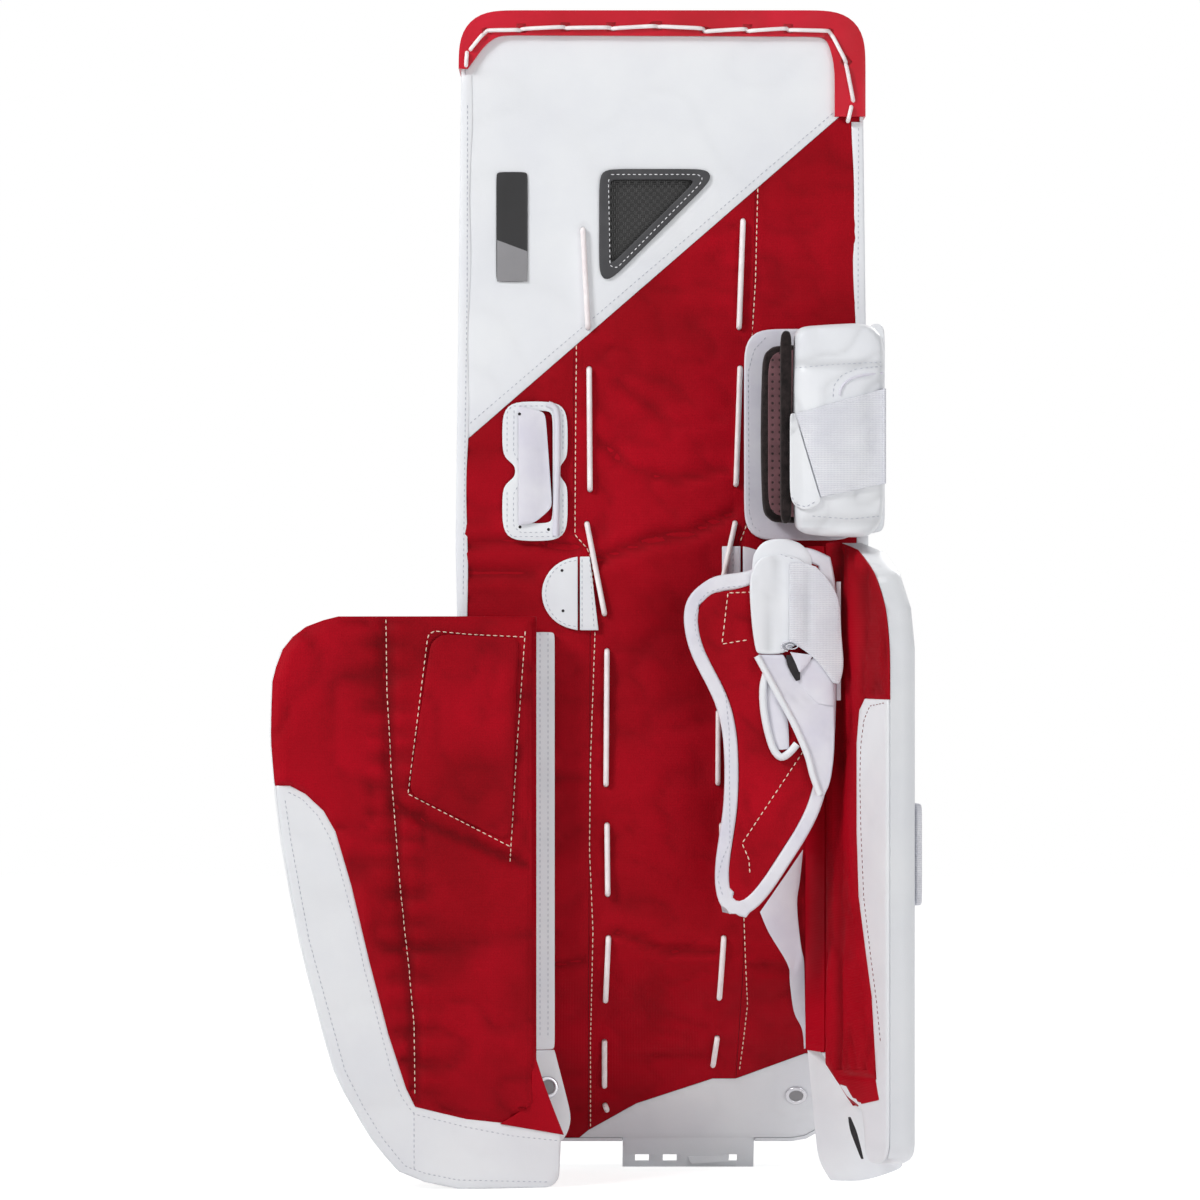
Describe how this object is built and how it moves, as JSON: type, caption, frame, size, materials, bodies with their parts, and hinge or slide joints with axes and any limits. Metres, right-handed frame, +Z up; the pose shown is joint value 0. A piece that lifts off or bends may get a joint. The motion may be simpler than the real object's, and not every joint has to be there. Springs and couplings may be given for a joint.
{
  "type": "ice hockey goaltender leg pad",
  "caption": "Goaltender's leg pad: padded face with leaning boot, folding side flaps, knee cradle and calf wrap on sewn hinges, fold-out tabs and a laced leg channel.",
  "frame": {"origin": "under the middle of the bounding box, on the floor the pad stands on", "axes": "+Z up along the pad, +Y towards the shooting face, +X to the inner side of the leg"},
  "size_m": [0.4484, 0.2602, 0.8208],
  "materials": {
    "red_nylon": "woven nylon, matt",
    "red_leather": "smooth, semi-matt",
    "white_leather": "smooth synthetic leather, satin",
    "white_webbing": "woven elastic webbing, matt",
    "lace_cord": "braided cord, matt",
    "foam": "closed-cell foam, matt",
    "composite": "woven fibre sheet, satin",
    "dark_trim": "moulded, semi-matt",
    "perforated_lining": "perforated suede, matt",
    "black_pile": "napped foam, matt",
    "eyelet_metal": "plated, bright"
  },
  "bodies": {
    "pad": {"front_cover_thigh": "white_leather", "front_cover_shin": "white_leather", "front_cover_boot": "white_leather", "foam_core_thigh": "foam", "foam_core_shin": "foam", "foam_core_boot": "foam", "stiffener_sheet": "composite", "rear_panel_top": "white_leather", "rear_panel_outer": "red_nylon", "channel_panel": "red_nylon", "rear_panel_inner": "red_nylon", "boot_liner": "white_leather", "window_frame": "dark_trim", "label_patch": "dark_trim", "lace_outer": "lace_cord", "lace_inner": "lace_cord", "top_binding": "red_leather", "top_lace": "lace_cord", "anchor_patch": "white_leather", "d_tab_outer_strip": "white_leather", "d_tab_inner_strip": "white_leather", "inner_gusset": "white_leather", "knee_base": "white_leather", "knee_base_pad": "black_pile", "knee_base_lining": "perforated_lining", "toe_bridge": "white_leather", "inner_eyelet": "eyelet_metal"},
    "outer_flap": {"outer_flap_shell": "white_leather", "outer_flap_foam": "foam", "outer_flap_lining": "red_nylon", "outer_flap_guard": "white_leather", "outer_hinge_strip": "white_leather", "outer_boot_tab": "white_leather", "outer_eyelet": "eyelet_metal", "flap_pocket": "red_nylon"},
    "inner_wall": {"inner_wall_shell": "white_leather", "inner_wall_foam": "foam", "inner_wall_lining": "red_nylon", "inner_wall_guard": "white_leather", "inner_hinge_strip": "red_nylon", "side_strap_loop": "white_webbing"},
    "anchor_tab": {"anchor_tab": "white_leather"},
    "d_tab_outer": {"d_tab_outer": "white_leather"},
    "d_tab_inner": {"d_tab_inner": "white_leather"},
    "knee_wrap": {"knee_side_wall": "white_leather", "knee_wrap_pad": "white_leather", "knee_wrap_lining": "perforated_lining", "knee_wrap_lip": "black_pile"},
    "knee_strap": {"knee_strap": "white_webbing", "knee_strap_tongue": "white_leather"},
    "calf_wrap": {"calf_wrap_panel": "red_nylon", "calf_wrap_binding": "white_leather", "calf_hinge_strip": "white_leather", "calf_wrap_tongue": "white_leather", "calf_wrap_sling": "white_leather"},
    "calf_strap": {"calf_strap": "white_webbing"},
    "inner_boot_tab": {"inner_boot_tab": "white_leather"}
  },
  "joints": [
    {"name": "outer_flap_hinge", "type": "hinge", "parent": "pad", "child": "outer_flap", "pos_m": [-0.02755, -0.02, 0], "axis": [0, 0, 1], "range_deg": [-8, 97]},
    {"name": "inner_wall_hinge", "type": "hinge", "parent": "pad", "child": "inner_wall", "pos_m": [0.15045, -0.0208, 0], "axis": [0, 0, 1], "range_deg": [-15, 20]},
    {"name": "anchor_tab_fold", "type": "hinge", "parent": "pad", "child": "anchor_tab", "pos_m": [-0.0523, -0.02115, 0], "axis": [0, 0, -1], "range_deg": [0, 90]},
    {"name": "d_tab_outer_fold", "type": "hinge", "parent": "pad", "child": "d_tab_outer", "pos_m": [-0.01035, -0.0191, 0], "axis": [0, 0, 1], "range_deg": [0, 45]},
    {"name": "d_tab_inner_fold", "type": "hinge", "parent": "pad", "child": "d_tab_inner", "pos_m": [0.10485, -0.0191, 0], "axis": [0, 0, -1], "range_deg": [0, 60]},
    {"name": "knee_wrap_hinge", "type": "hinge", "parent": "pad", "child": "knee_wrap", "pos_m": [0.20095, -0.0191, 0], "axis": [0, 0, 1], "range_deg": [0, 60]},
    {"name": "knee_strap_fold", "type": "hinge", "parent": "knee_wrap", "child": "knee_strap", "pos_m": [0.20095, -0.1071, 0], "axis": [0, 0, 1], "range_deg": [0, 70]},
    {"name": "calf_wrap_hinge", "type": "hinge", "parent": "inner_wall", "child": "calf_wrap", "pos_m": [0.17055, -0.0758, 0], "axis": [0, 0, -1], "range_deg": [-8, 25]},
    {"name": "calf_strap_fold", "type": "hinge", "parent": "calf_wrap", "child": "calf_strap", "pos_m": [0.13495, -0.0854, 0], "axis": [0, 0, -1], "range_deg": [0, 60]},
    {"name": "inner_boot_tab_hinge", "type": "hinge", "parent": "inner_wall", "child": "inner_boot_tab", "pos_m": [0.15045, -0.0208, 0], "axis": [0, 0, -1], "range_deg": [0, 30]}
  ]
}
